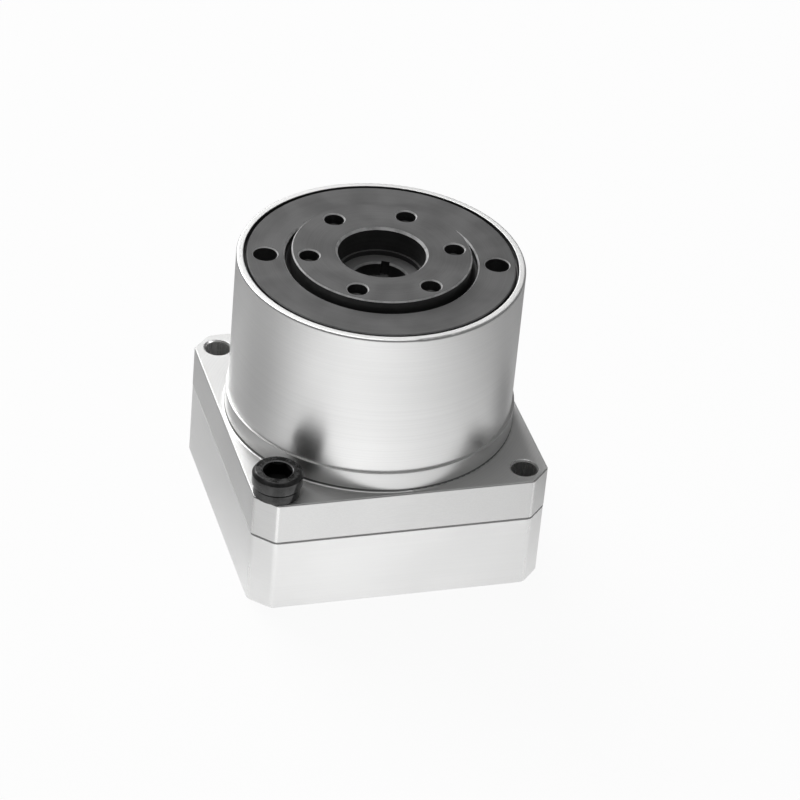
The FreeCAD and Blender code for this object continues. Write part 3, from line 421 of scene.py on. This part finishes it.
# painted shade: a thin dark line in the corner at the pilot's foot, and a dark wall inside the rim's
# mouth
off_foot = reckon(tree, "ABSOLUTE", reckon(tree, "SUBTRACT", height, FOOT_LINE))
foot_shade = between(tree, off_foot, *FOOT_LINE_SPREAD, PAINTED_SHADE_IN_FOOT, 0.0)
mouth_shade = between(tree, from_axis(tree), *MOUTH_WALL, PAINTED_SHADE_IN_MOUTH, 0.0)
painted_shade = reckon(tree, "MAXIMUM", foot_shade, mouth_shade)
tree.links.new(two_tones(tree, painted_shade, metal, PAINTED_SHADE_TONE), surface["Base Color"])
dull = reckon(tree, "ADD", varied(tree, patches, *HOUSING_ROUGHNESS),
              times(tree, mark_from(tree, level_faces), LEVEL_FACE_DULLING))
gloss = times(tree, plate_corner_highlight, CORNER_GLOSS)
tree.links.new(reckon(tree, "SUBTRACT", dull, gloss), surface["Roughness"])
rounded = eased_edges(tree, between(tree, height, *EDGE_ROUND_CHANGES, *EDGE_ROUNDS))
tree.links.new(relief(tree, marks, 0.003 * MM, under=rounded), surface["Normal"])
wear(turned_aluminium, "housing")

# Lock ring and output flange: the ring screws into the barrel's rim and holds the bearing; a pin spanner
# fits its two holes. Both are turned steel, blackened, with a highlight painted lighter on their
# chamfers, and deep black holes.
RIM_EDGE = (26 * MM, 26.2 * MM)
BORE_EDGE = (6.5 * MM, 8.5 * MM)
BORE_WALL = (8.8 * MM, 9.1 * MM)

# chamfer highlight: where a corner is broken at a slant, the dark finish is painted lighter in patches,
# as a highlight
SLANT_STARTS = (0.2, 0.45)
SLANT_ENDS = (0.85, 0.97)
HIGHLIGHT_PATCHES_FROM, HIGHLIGHT_PATCHES_TO, LEAST_HIGHLIGHT = 0.25, 0.6, 0.55
chamfer_highlight, start, mark = effect("Chamfer highlight", Patches=900.0)
lean = reckon(chamfer_highlight, "ABSOLUTE", facing(chamfer_highlight, "True Normal")["Z"])
slanted = times(chamfer_highlight, between(chamfer_highlight, lean, *SLANT_STARTS, 0.0, 1.0),
                between(chamfer_highlight, lean, *SLANT_ENDS, 1.0, 0.0))
cloud = noise(chamfer_highlight, on_the_piece(chamfer_highlight), start["Patches"], detail=3.0)
patchy = between(chamfer_highlight, cloud, HIGHLIGHT_PATCHES_FROM, HIGHLIGHT_PATCHES_TO, LEAST_HIGHLIGHT, 1.0)
chamfer_highlight.links.new(times(chamfer_highlight, slanted, patchy), mark)

EDGE_HIGHLIGHT = 0.9
RIM_EDGE_HIGHLIGHT = 0.25
BORE_EDGE_HIGHLIGHT_SHARE = 0.5
LEVEL_TONE = 0.14
BORE_LEVEL_TONE = 0.2
BLACK_STEEL_TONES = grey(0.035), grey(0.7)
BLACK_STEEL_ROUGHNESS = (0.36, 0.46)
black_steel, tree, surface = new_finish("black_steel", metallic=0.3, roughness=0.4)
rings = mark_from(tree, turned, Rings=4200.0, Wander=1.0)
patches = mark_from(tree, handled, Patches=130.0)
highlit_edges = mark_from(tree, chamfer_highlight, Patches=500.0)
radius = from_axis(tree)
edge_highlight_share = times(tree, between(tree, radius, *RIM_EDGE, EDGE_HIGHLIGHT, RIM_EDGE_HIGHLIGHT),
                 between(tree, radius, *BORE_EDGE, BORE_EDGE_HIGHLIGHT_SHARE, 1.0))
level_tone = between(tree, radius, *BORE_WALL, BORE_LEVEL_TONE, LEVEL_TONE)
faces = reckon(tree, "ADD", weighed(tree, rings, 0.02, patches, 0.035),
               times(tree, mark_from(tree, level_faces), level_tone))
# painted highlight: the chamfers' lighter tone stands in for their shine
skin = reckon(tree, "ADD", times(tree, highlit_edges, edge_highlight_share), faces)
tree.links.new(two_tones(tree, skin, *BLACK_STEEL_TONES), surface["Base Color"])
tree.links.new(varied(tree, patches, *BLACK_STEEL_ROUGHNESS), surface["Roughness"])
tree.links.new(relief(tree, rings, 0.004 * MM), surface["Normal"])
wear(black_steel, "lock_ring", "output_flange")

# Output seal: a lip seal pressed into the groove between the lock ring and the turning flange.
# Moulded nitrile rubber, like the adapter's O-ring.
wear(moulded_rubber, "output_seal")


# Corner screw: the one hexagon socket cap screw that is fitted, through the flange into the adapter.
# Black oxide steel, its head a little narrower below, with shade painted black into the socket up to the
# mouth.
def nothing_selected():
    if bpy.context.mode != "OBJECT":
        bpy.ops.object.mode_set(mode="OBJECT")
    bpy.ops.object.select_all(action="DESELECT")


def take(piece):
    """Leave the piece alone selected and active."""
    nothing_selected()
    piece.select_set(True)
    bpy.context.view_layer.objects.active = piece


def settle(piece):
    """Put the piece's place into its mesh."""
    take(piece)
    bpy.ops.object.transform_apply(location=True, rotation=True, scale=True)


def first_point(name, place):
    """New mesh of one point at the place, in edit mode."""
    nothing_selected()
    bpy.ops.mesh.primitive_plane_add(size=MM, location=place)
    piece = bpy.context.object
    piece.name = name
    bpy.ops.object.mode_set(mode="EDIT")
    bpy.ops.mesh.merge(type="CENTER")
    return piece


def draw_on(step):
    bpy.ops.mesh.extrude_vertices_move(TRANSFORM_OT_translate={"value": step})


WELD = 0.001 * MM
ROUND_SIDES = 96


def spun(name, profile):
    """Round solid about the upright axis: one point, drawn out along the profile and spun."""
    radius, height = profile[0]
    piece = first_point(name, (radius, 0, height))
    for next_radius, next_height in profile[1:]:
        draw_on((next_radius - radius, 0, next_height - height))
        radius, height = next_radius, next_height
    bpy.ops.mesh.select_all(action="SELECT")
    bpy.ops.mesh.spin(steps=ROUND_SIDES, angle=2 * math.pi, center=(0, 0, 0), axis=(0, 0, 1))
    bpy.ops.mesh.select_all(action="SELECT")
    bpy.ops.mesh.remove_doubles(threshold=WELD)
    bpy.ops.mesh.normals_make_consistent(inside=False)
    settle(piece)
    return piece


def pick_points(piece, test):
    """Edit the piece with the points selected that pass the test."""
    take(piece)
    bpy.ops.object.mode_set(mode="EDIT")
    bpy.ops.mesh.select_mode(type="VERT")
    bpy.ops.mesh.select_all(action="DESELECT")
    bpy.ops.object.mode_set(mode="OBJECT")
    for point in piece.data.vertices:
        point.select = test(point.co)
    bpy.ops.object.mode_set(mode="EDIT")


def cut_away(piece, cutter):
    take(piece)
    cut = piece.modifiers.new("Cut", "BOOLEAN")
    cut.operation = "DIFFERENCE"
    cut.solver = "EXACT"
    cut.object = cutter
    bpy.ops.object.modifier_apply(modifier=cut.name)
    bpy.data.objects.remove(cutter)


def soften(piece, angle):
    take(piece)
    bpy.ops.object.shade_smooth_by_angle(angle=math.radians(angle))


# painted shade: the socket's walls are near black with almost no shine, standing in for the shade inside
# the hole
SOCKET_SHADE_TONES = grey(0.002), grey(0.005)
socket_painted_shade, tree, surface = new_finish("socket_painted_shade", metallic=0.0, roughness=0.5)
patches = mark_from(tree, handled, Patches=400.0)
tree.links.new(two_tones(tree, patches, *SOCKET_SHADE_TONES), surface["Base Color"])
surface["Specular IOR Level"].default_value = 0.1

SOCKET_CORNERS = 6
SCREW_FINISHES = (black_oxide, socket_painted_shade, turned_steel)
IN_SOCKET = SCREW_FINISHES.index(socket_painted_shade)
ON_LIP = SCREW_FINISHES.index(turned_steel)
TOP_SKIN = 0.01 * MM


def cap_screw(name, head, tall, shank, reach, socket, socket_depth, key_turn):
    """Socket head cap screw that stands on the origin, with its shank below it."""
    foot = 0.92 * head
    bevel = 0.12 * head
    piece = spun(name, [
        (0, -reach),
        (0.8 * shank, -reach),
        (shank, 0.2 * shank - reach),
        (shank, 0),
        (0.94 * foot, 0),
        (foot, 0.04 * tall),
        (foot, 0.36 * tall),
        (0.96 * foot, 0.41 * tall),
        (0.985 * head, 0.46 * tall),
        (head, 0.49 * tall),
        (head, tall - 1.2 * bevel),
        (head - 0.2 * bevel, tall - 0.85 * bevel),
        (head - 0.85 * bevel, tall - 0.12 * bevel),
        (head - 1.1 * bevel, tall),
        (0, tall),
    ])
    nothing_selected()
    bpy.ops.mesh.primitive_cylinder_add(vertices=SOCKET_CORNERS, radius=socket, depth=2 * socket_depth,
                                        location=(0, 0, tall), rotation=(0, 0, math.radians(key_turn)))
    hexagon = bpy.context.object
    settle(hexagon)
    drill_point = 0.35 * socket
    pick_points(hexagon, lambda point: point.z < tall)
    bpy.ops.mesh.extrude_region_move(TRANSFORM_OT_translate={"value": (0, 0, -drill_point)})
    bpy.ops.transform.resize(value=(0.1, 0.1, 1), center_override=(0, 0, 0))
    nothing_selected()
    cut_away(piece, hexagon)
    mouth = 1.01 * socket
    slope = 0.24 * socket
    lip = 0.06 * socket
    cone = spun("mouth", [
        (0, tall - slope),
        (mouth - 0.7 * slope, tall - slope),
        (mouth, tall - lip),
        (mouth + lip, tall),
        (mouth + lip, tall + slope),
        (0, tall + slope),
    ])
    cut_away(piece, cone)
    piece.data.materials.clear()
    for finish in SCREW_FINISHES:
        piece.data.materials.append(finish)
    for face in piece.data.polygons:
        out = math.hypot(face.center.x, face.center.y)
        below_top = 0 < face.center.z < tall - TOP_SKIN
        if below_top and out < mouth:
            face.material_index = IN_SOCKET
        elif below_top and out < mouth + lip:
            face.material_index = ON_LIP
    return piece


CORNER_HEAD_RADIUS = 5 * MM
CORNER_SHANK_RADIUS = 2.5 * MM
CORNER_SOCKET_RADIUS = 2.89 * MM
CORNER_SOCKET_DEPTH = 2.9 * MM
CORNER_KEY_TURN = 15
SCREW_SMOOTH_ANGLE = 25
screw_low, screw_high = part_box("corner_screw")
corner_screw = cap_screw("corner_cap_screw", CORNER_HEAD_RADIUS, screw_high.z - FLANGE_TOP,
                         CORNER_SHANK_RADIUS, FLANGE_TOP - screw_low.z, CORNER_SOCKET_RADIUS,
                         CORNER_SOCKET_DEPTH, CORNER_KEY_TURN)
corner_screw.location = ((screw_low.x + screw_high.x) / 2, (screw_low.y + screw_high.y) / 2, FLANGE_TOP)
settle(corner_screw)
soften(corner_screw, SCREW_SMOOTH_ANGLE)
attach(corner_screw, "housing_group")
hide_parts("corner_screw")


# Adapter screws: four small cap screws that hold the adapter under the housing, sunk from below.
# Black oxide steel, one modelled as the corner screw is and copied round.
def ring_of_spots(pitch_radius, height, count, first):
    """Places at even steps round the upright axis, from the first one's turn in degrees."""
    turns = [math.radians(first + 360 * i / count) for i in range(count)]
    return [(pitch_radius * math.cos(turn), pitch_radius * math.sin(turn), height) for turn in turns]


def copied_to(spots, piece, name):
    """One piece made of copies of the given one, moved to the spots."""
    copies = []
    for spot in spots:
        take(piece)
        bpy.ops.object.duplicate()
        copy = bpy.context.object
        copy.location = spot
        settle(copy)
        copies.append(copy)
    bpy.data.objects.remove(piece)
    nothing_selected()
    for copy in copies:
        copy.select_set(True)
    bpy.context.view_layer.objects.active = copies[0]
    bpy.ops.object.join()
    joined = bpy.context.object
    joined.name = name
    return joined


M3_HEAD_RADIUS = 2.75 * MM
M3_HEAD_HEIGHT = 3 * MM
M3_SHANK_RADIUS = 1.2 * MM
M3_SHANK_LENGTH = 19.2 * MM
M3_SOCKET_RADIUS = 1.44 * MM
M3_SOCKET_DEPTH = 1.4 * MM
M3_KEY_TURN = 0
ADAPTER_SCREWS = 4
ADAPTER_SCREW_PITCH = 28.2 * MM
ADAPTER_SCREW_SEAT = 3.3 * MM
ADAPTER_SCREW_TURN = -25.2
one_screw = cap_screw("one_screw", M3_HEAD_RADIUS, M3_HEAD_HEIGHT, M3_SHANK_RADIUS, M3_SHANK_LENGTH,
                      M3_SOCKET_RADIUS, M3_SOCKET_DEPTH, M3_KEY_TURN)
one_screw.rotation_euler = (math.pi, 0, 0)
settle(one_screw)
spots = ring_of_spots(ADAPTER_SCREW_PITCH, ADAPTER_SCREW_SEAT, ADAPTER_SCREWS, ADAPTER_SCREW_TURN)
adapter_screws = copied_to(spots, one_screw, "adapter_cap_screws")
soften(adapter_screws, SCREW_SMOOTH_ANGLE)
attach(adapter_screws, "housing_group")
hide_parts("adapter_screws")

# Output threads: the M4 threads cut in the flange's six holes.
# Blackened steel like the flange; one ridge wound up in a hole, and copied round.
THREAD_STEPS = 32
THREAD_SMOOTH_ANGLE = 30
M4_RADIUS = 2.005 * MM
M4_CORE_RADIUS = 1.65 * MM
M4_PITCH = 0.7 * MM


def wound_thread(turns):
    """Ridge of an M4 thread that winds up from the origin."""
    depth = M4_RADIUS - M4_CORE_RADIUS
    piece = first_point("one_thread", (M4_RADIUS, 0, 0))
    draw_on((-depth, 0, 0.4 * M4_PITCH))
    draw_on((0, 0, 0.1 * M4_PITCH))
    draw_on((depth, 0, 0.4 * M4_PITCH))
    bpy.ops.mesh.select_all(action="SELECT")
    bpy.ops.mesh.edge_face_add()
    bpy.ops.mesh.delete(type="ONLY_FACE")
    settle(piece)
    winding = piece.modifiers.new("Winding", "SCREW")
    winding.axis = "Z"
    winding.screw_offset = M4_PITCH
    winding.iterations = turns
    winding.steps = THREAD_STEPS
    winding.render_steps = THREAD_STEPS
    bpy.ops.object.modifier_apply(modifier=winding.name)
    bpy.ops.object.mode_set(mode="EDIT")
    bpy.ops.mesh.select_all(action="SELECT")
    bpy.ops.mesh.remove_doubles(threshold=WELD)
    bpy.ops.mesh.fill_holes(sides=4)
    bpy.ops.mesh.normals_make_consistent(inside=False)
    nothing_selected()
    return piece


def cut_threads(name, spots, turns, finish):
    """Threads wound up from each of the spots, as one piece."""
    threads = copied_to(spots, wound_thread(turns), name)
    soften(threads, THREAD_SMOOTH_ANGLE)
    threads.data.materials.clear()
    threads.data.materials.append(finish)
    return threads


OUTPUT_HOLES = 6
OUTPUT_BOLT_PITCH = 14.5 * MM
OUTPUT_BOLT_TURN = -4.1
OUTPUT_THREAD_FOOT = 54.7 * MM
OUTPUT_THREAD_TURNS = 7
spots = ring_of_spots(OUTPUT_BOLT_PITCH, OUTPUT_THREAD_FOOT, OUTPUT_HOLES, OUTPUT_BOLT_TURN)
output_threads = cut_threads("output_threads", spots, OUTPUT_THREAD_TURNS, black_oxide)
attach(output_threads, "output_group")

# Motor threads: the M4 threads for the motor's screws, cut in the adapter from below.
# Bare aluminium like the adapter, wound and copied as the output's threads are.
MOTOR_HOLES = 4
MOTOR_BOLT_PITCH = 23 * MM
MOTOR_BOLT_TURN = 45
MOTOR_THREAD_FOOT = 0.5 * MM
MOTOR_THREAD_TURNS = 12
spots = ring_of_spots(MOTOR_BOLT_PITCH, MOTOR_THREAD_FOOT, MOTOR_HOLES, MOTOR_BOLT_TURN)
motor_threads = cut_threads("motor_threads", spots, MOTOR_THREAD_TURNS, satin_aluminium)
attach(motor_threads, "housing_group")

# Stage: a white paper floor that runs out of sight. The camera sees it white, with the gearbox's shadow;
# in the metal it glows with a painted pool of light in front, and painted shadows of the gearbox on both
# its sides.
FLOOR_SIZE = 6.0
FLOOR_DROP = 0.05 * MM
WHITE = grey(1.0)
PAPER_TONE = grey(0.86)
nothing_selected()
bpy.ops.mesh.primitive_plane_add(size=FLOOR_SIZE, location=(0, 0, -FLOOR_DROP))
floor = bpy.context.object
floor.name = "paper_floor"


def patch_of_floor(tree, middle, reach, strength):
    away = vector_node(tree, "DISTANCE", on_the_piece(tree), middle)["Value"]
    return between(tree, away, 0.0, reach, strength, 0.0)


def glow(tree, strength):
    node = tree.nodes.new("ShaderNodeEmission")
    node.inputs["Color"].default_value = WHITE
    feed(tree, node.inputs["Strength"], strength)
    return node.outputs[0]


def choose(tree, factor, without, with_it):
    """The second surface by as much as the factor says, over the first."""
    node = tree.nodes.new("ShaderNodeMixShader")
    feed(tree, node.inputs["Fac"], factor)
    tree.links.new(without, node.inputs[1])
    tree.links.new(with_it, node.inputs[2])
    return node.outputs[0]


SHADOW_SHARE = 0.06
FLOOR_GLOW = 0.3
FRONT_POOL = (Vector((-41, -75, 0)) * MM, 205 * MM, 0.97)
LEFT_SHADE = (Vector((-71, 1, 0)) * MM, 76 * MM, 0.52)
RIGHT_SHADE = (Vector((66, 4, 0)) * MM, 33 * MM, 0.37)
paper = bpy.data.materials.new("white_paper")
paper.use_nodes = True
tree = paper.node_tree
tree.nodes.remove(tree.nodes["Principled BSDF"])
rays = tree.nodes.new("ShaderNodeLightPath").outputs
behind = tree.nodes.new("ShaderNodeNewGeometry").outputs["Backfacing"]
lit = reckon(tree, "ADD", patch_of_floor(tree, *FRONT_POOL), FLOOR_GLOW)
shades = reckon(tree, "ADD", patch_of_floor(tree, *LEFT_SHADE), patch_of_floor(tree, *RIGHT_SHADE))
matt_node = tree.nodes.new("ShaderNodeBsdfDiffuse")
matt_node.inputs["Color"].default_value = PAPER_TONE
matt = matt_node.outputs[0]
in_metal = glow(tree, reckon(tree, "SUBTRACT", lit, shades))
to_viewer = choose(tree, SHADOW_SHARE, glow(tree, 1.0), matt)
shiny = reckon(tree, "MAXIMUM", rays["Is Glossy Ray"], rays["Is Transmission Ray"])
with_metal = choose(tree, shiny, matt, in_metal)
with_viewer = choose(tree, rays["Is Camera Ray"], with_metal, to_viewer)
see_through = tree.nodes.new("ShaderNodeBsdfTransparent").outputs[0]
both_sides = choose(tree, behind, with_viewer, see_through)
tree.links.new(both_sides, tree.nodes["Material Output"].inputs["Surface"])
floor.data.materials.append(paper)

# Room: dark towards the viewer and at the sides, with a bright window high up behind on the left
# and a soft panel overhead. The camera sees it plain white.
ROOM_GLOW = 0.13
WINDOW_GLOW = 3.3
SILL_SHARE = 0.2
PANEL_GLOW = 1.1
WINDOW_RIGHT = Vector((0.9986, -0.0523, 0.0))
WINDOW_LEFT = Vector((-0.809, -0.588, 0.0))
RIGHT_SOFTNESS = 0.06
LEFT_SOFTNESS = 0.12
SILL = (0.22, 0.5)
PANEL_EDGE = (0.84, 0.97)
room = bpy.data.worlds.new("studio")
bpy.context.scene.world = room
room.use_nodes = True
tree = room.node_tree
walls = tree.nodes["Background"]
rays = tree.nodes.new("ShaderNodeLightPath").outputs
sight = tree.nodes.new("ShaderNodeTexCoord").outputs["Generated"]


def inside_of(tree, side, softness):
    """1 on this side of an upright plane through the gearbox, 0 beyond it."""
    past = vector_node(tree, "DOT_PRODUCT", sight, side)["Value"]
    return between(tree, past, -softness, softness, 1.0, 0.0)


in_width = times(tree, inside_of(tree, WINDOW_RIGHT, RIGHT_SOFTNESS),
                 inside_of(tree, WINDOW_LEFT, LEFT_SOFTNESS))
upwards = parts_of(tree, sight)["Z"]
above_sill = between(tree, upwards, *SILL, SILL_SHARE * WINDOW_GLOW, WINDOW_GLOW)
window = times(tree, in_width, above_sill)
panel = between(tree, upwards, *PANEL_EDGE, ROOM_GLOW, PANEL_GLOW)
tree.links.new(reckon(tree, "ADD", window, panel), walls.inputs["Strength"])
walls.inputs["Color"].default_value = WHITE
plain = tree.nodes.new("ShaderNodeBackground")
plain.inputs["Color"].default_value = WHITE
seen = choose(tree, rays["Is Camera Ray"], walls.outputs[0], plain.outputs[0])
tree.links.new(seen, tree.nodes["World Output"].inputs["Surface"])

# Lamp: one large soft box, hung behind on the left at the window's height. It leaves the right of the
# plate in the barrel's shade, and the gearbox's faint shadow on the floor towards the viewer.
AIM = Vector((0, 0, 28)) * MM
LAMP_PLACE = Vector((-0.25, 0.78, 0.81))
LAMP_SIZE = 0.6
LAMP_WATTS = 3.0
nothing_selected()
bpy.ops.object.light_add(type="AREA", location=LAMP_PLACE)
lamp = bpy.context.object
lamp.name = "window"
lamp.data.shape = "SQUARE"
lamp.data.size = LAMP_SIZE
lamp.data.energy = LAMP_WATTS
lamp.rotation_euler = (AIM - LAMP_PLACE).to_track_quat("-Z", "Y").to_euler()

# Camera: above the front left corner, with a long lens, and rolled a few degrees out of level.
# The angles, the distance and the lens are those of the perspective fitted to the photograph.
CAMERA_AZIMUTH = math.radians(-17.77)
CAMERA_ELEVATION = math.radians(34.61)
CAMERA_ROLL = math.radians(5.08)
CAMERA_DISTANCE = 783.2 * MM
LENS = 175.74
FRAME_SHIFT = (0.03815, -0.00697)
level = math.cos(CAMERA_ELEVATION)
back = Vector((level * math.sin(CAMERA_AZIMUTH), -level * math.cos(CAMERA_AZIMUTH),
               math.sin(CAMERA_ELEVATION)))
bpy.ops.object.camera_add(location=AIM + back * CAMERA_DISTANCE)
camera = bpy.context.object
camera.rotation_mode = "QUATERNION"
unrolled = (-back).to_track_quat("-Z", "Y")
camera.rotation_quaternion = unrolled @ Quaternion((0, 0, 1), CAMERA_ROLL)
camera.data.lens = LENS
camera.data.shift_x, camera.data.shift_y = FRAME_SHIFT
bpy.context.scene.camera = camera
